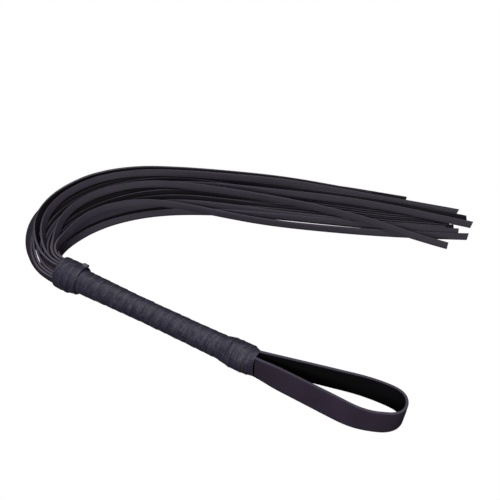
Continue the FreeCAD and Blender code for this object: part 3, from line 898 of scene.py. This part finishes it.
class WHIP_OT_tag(bpy.types.Operator):
    """The loose end of the ribbon, folded over at the rear of the collar"""

    bl_idname = "whip.tag"
    bl_label = "Folded ribbon end"

    # The fold in section: (round the collar, away from it), from the tucked end to the free end.
    FOLD = (
        (-2.4, -0.9),
        (-1.2, -0.3),
        (-0.4, 0.3),
        (0.1, 1.1),
        (0.8, 1.6),
        (1.5, 1.4),
        (1.9, 0.6),
        (2.1, -0.6),
    )
    THICKNESS = 0.0006
    LENGTH = 0.0045
    AROUND = 40.0
    SKEW = 0.0006
    STEP = 0.0003

    def execute(self, context):
        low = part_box("collar_tag")[0]
        radius = (COLLAR_HIGH.z - COLLAR_LOW.z) / 2 - WHIP_OT_wraps.COLLAR_TAPER
        line = smooth_line("fold", [Vector((0, along * MM, out * MM)) for along, out in self.FOLD])
        bm = bmesh.new()
        layers = [bm.verts.layers.float.new(key) for key in LAYERS]
        turn = Matrix.Rotation(math.radians(-self.AROUND), 3, "X")
        rows = []
        for n, place in enumerate(line):
            ahead = (line[min(n + 1, len(line) - 1)] - line[max(n - 1, 0)]).normalized()
            out = Vector((0, -ahead.z, ahead.y)) * self.THICKNESS / 2
            skew = self.SKEW * n / len(line)
            row = []
            for x, way in ((low.x, 1), (low.x + self.LENGTH, 1), (low.x + self.LENGTH, -1), (low.x, -1)):
                spot = turn @ (Vector((0, 0, radius)) + place + out * way)
                vert = bm.verts.new((x + skew, AXIS.y + spot.y, AXIS.z + spot.z))
                for layer, value in zip(layers, (n * self.STEP, x - low.x, 0.0, 0.0)):
                    vert[layer] = value
                row.append(vert)
            rows.append(row)
        for row, following in zip(rows, rows[1:]):
            for k in range(4):
                bm.faces.new((row[k - 1], row[k], following[k], following[k - 1]))
        bm.faces.new(rows[0])
        bm.faces.new(rows[-1])
        piece = new_piece("folded_end", finished_mesh("folded_end", bm), bpy.data.materials["wrap_ribbon"])
        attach(piece, "handle")
        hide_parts("collar_tag")
        return {"FINISHED"}


def angle_of(way):
    return math.atan2(way.y, way.x)


class WHIP_OT_loop(bpy.types.Operator):
    """The wrist loop: one strap on edge, from one kerf of the knob round to the other"""

    bl_idname = "whip.loop"
    bl_label = "Wrist loop"

    ROUGHNESS = 0.5
    PEBBLE = 0.0009
    CORNER = 0.0005
    CUP = 0.00012
    SPACING = 0.002
    SMOOTHINGS = 8
    BLEND_END = 0.034
    # How far the strap's top leans towards the inside at each share of its length, in degrees.
    LEANS = ((0, 3), (0.1, 13), (0.28, 15), (0.42, 4), (0.5, -7), (0.58, -9), (0.75, -3), (1, 0))

    def execute(self, context):
        settings = context.scene.whip_loop
        line = self.line(settings)
        leans = self.leans(line)
        outline = strip_outline(settings.width, settings.thickness, self.CORNER, self.CUP, 1, 3, 9)
        mesh = swept_strip("loop_strap", line, leans, outline)
        colours = (settings.face, settings.edge, settings.flesh)
        leather = strip_leather("strap_leather", *colours, self.ROUGHNESS, self.PEBBLE)
        piece = new_piece("loop_strap", mesh, leather)
        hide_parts("wrist_loop")
        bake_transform(piece)
        return {"FINISHED"}

    def line(self, settings):
        """The strap's middle line: straight near leg, its bend, the round tip, the bowed far leg."""
        tip_radius, near_radius = settings.tip_radius, settings.near_radius
        side_radius = settings.side_radius
        half = settings.thickness / 2
        tip = Vector((LOOP_HIGH.x - half - tip_radius, LOOP_HIGH.y - half - tip_radius))
        turn = math.radians(settings.turn_in)
        near = tip + (tip_radius - near_radius) * Vector((math.cos(turn), math.sin(turn)))
        side = tip - Vector((0, side_radius - tip_radius))
        near_start = Vector((BUTT.x, BUTT.y - settings.apart / 2))
        far_end = Vector((BUTT.x, BUTT.y + settings.apart / 2))
        bend_from = angle_of(near_start - near) + math.acos(near_radius / (near_start - near).length)
        bend_to = angle_of(far_end - side) - math.acos(side_radius / (far_end - side).length)
        plan = [near_start]
        for centre, radius, first, last in (
            (near, near_radius, bend_from, turn),
            (tip, tip_radius, turn, math.pi / 2),
            (side, side_radius, math.pi / 2, bend_to),
        ):
            steps = math.ceil(radius * abs(last - first) / self.SPACING)
            for n in range(steps + 1):
                angle = first + (last - first) * n / steps
                plan.append(centre + radius * Vector((math.cos(angle), math.sin(angle))))
        plan.append(far_end)
        plan = evenly([a for a, b in zip(plan, plan[1:]) if (a - b).length > 1e-6] + [far_end], self.SPACING)
        for _ in range(self.SMOOTHINGS):
            middle = [(a + 2 * b + c) / 4 for a, b, c in zip(plan, plan[1:], plan[2:])]
            plan = [plan[0], *middle, plan[-1]]
        found = []
        for spot in plan:
            share = (spot.x - BUTT.x) / (LOOP_HIGH.x - BUTT.x)
            height = AXIS.z + (settings.width / 2 - AXIS.z) * share
            found.append(Vector((spot.x, spot.y, height)))
        return found

    def leans(self, line):
        """The near leg's top leans in, the tip's top leans out and the far leg stands up."""
        found = []
        for n in range(len(line)):
            share = n / (len(line) - 1)
            found.append(next(
                before[1] + (after[1] - before[1]) * smooth_step(share, before[0], after[0])
                for before, after in zip(self.LEANS, self.LEANS[1:])
                if share <= after[0]
            ))
        return found


def evenly(points, spacing):
    """Points at even steps along a line of points."""
    total = length_of(points)
    count = round(total / spacing)
    found, walked, leg = [points[0]], 0.0, 0
    for n in range(1, count):
        wanted = total * n / count
        while walked + (points[leg + 1] - points[leg]).length < wanted:
            walked += (points[leg + 1] - points[leg]).length
            leg += 1
        share = (wanted - walked) / (points[leg + 1] - points[leg]).length
        found.append(points[leg].lerp(points[leg + 1], share))
    return found + [points[-1]]


class WHIP_OT_inside(bpy.types.Operator):
    """Finishes of the pieces held inside the handle"""

    bl_idname = "whip.inside"
    bl_label = "Inside pieces"

    def execute(self, context):
        falls = context.scene.whip_falls
        wood = solid_finish("stained_wood", (0.02, 0.016, 0.014), 0.5, (60, 900, 900), 0.00008)
        root = solid_finish("rolled_leather", falls.face, 0.55, (1400, 1400, 1400), 0.00005)
        thread = solid_finish("waxed_thread", (0.02, 0.02, 0.022), 0.6, (4000, 900, 900), 0.00008)
        brass = solid_finish("tack_brass", (0.72, 0.5, 0.2), 0.3, (900, 900, 900), 0.00002, metallic=1.0)
        steel = solid_finish("nail_steel", (0.5, 0.5, 0.52), 0.35, (3000, 300, 3000), 0.00002, metallic=1.0)
        strap = solid_finish("tail_leather", context.scene.whip_loop.face, 0.6, (900, 900, 900), 0.00005)
        for node, material in (
            ("handle_core", wood),
            ("fringe_band", root),
            ("fringe_thread", thread),
            ("fringe_tacks", brass),
            ("strap_tails", strap),
            ("strap_pins", steel),
        ):
            dress(node, material)
        return {"FINISHED"}


class WHIP_PT_panel(bpy.types.Panel):
    """The whip's pieces, in the order in which they are made"""

    bl_idname = "WHIP_PT_panel"
    bl_label = "Multi-tail whip"
    bl_space_type = "VIEW_3D"
    bl_region_type = "UI"
    bl_category = "Whip"

    def draw(self, context):
        for maker in MAKERS:
            self.layout.operator(maker.bl_idname)


MAKERS = (WHIP_OT_stage, WHIP_OT_falls, WHIP_OT_wraps, WHIP_OT_tag, WHIP_OT_loop, WHIP_OT_inside)
SETTINGS = {
    "whip_stage": StageSettings,
    "whip_falls": FallSettings,
    "whip_wraps": WrapSettings,
    "whip_loop": LoopSettings,
}


def register():
    for group in SETTINGS.values():
        bpy.utils.register_class(group)
    for maker in (*MAKERS, WHIP_PT_panel):
        bpy.utils.register_class(maker)
    for name, group in SETTINGS.items():
        setattr(bpy.types.Scene, name, PointerProperty(type=group))


def unregister():
    for name in SETTINGS:
        delattr(bpy.types.Scene, name)
    for maker in (WHIP_PT_panel, *reversed(MAKERS)):
        bpy.utils.unregister_class(maker)
    for group in SETTINGS.values():
        bpy.utils.unregister_class(group)


def main():
    register()
    bpy.ops.whip.stage()
    bpy.ops.whip.falls()
    bpy.ops.whip.wraps()
    bpy.ops.whip.tag()
    bpy.ops.whip.loop()
    bpy.ops.whip.inside()


if __name__ == "__main__":
    main()
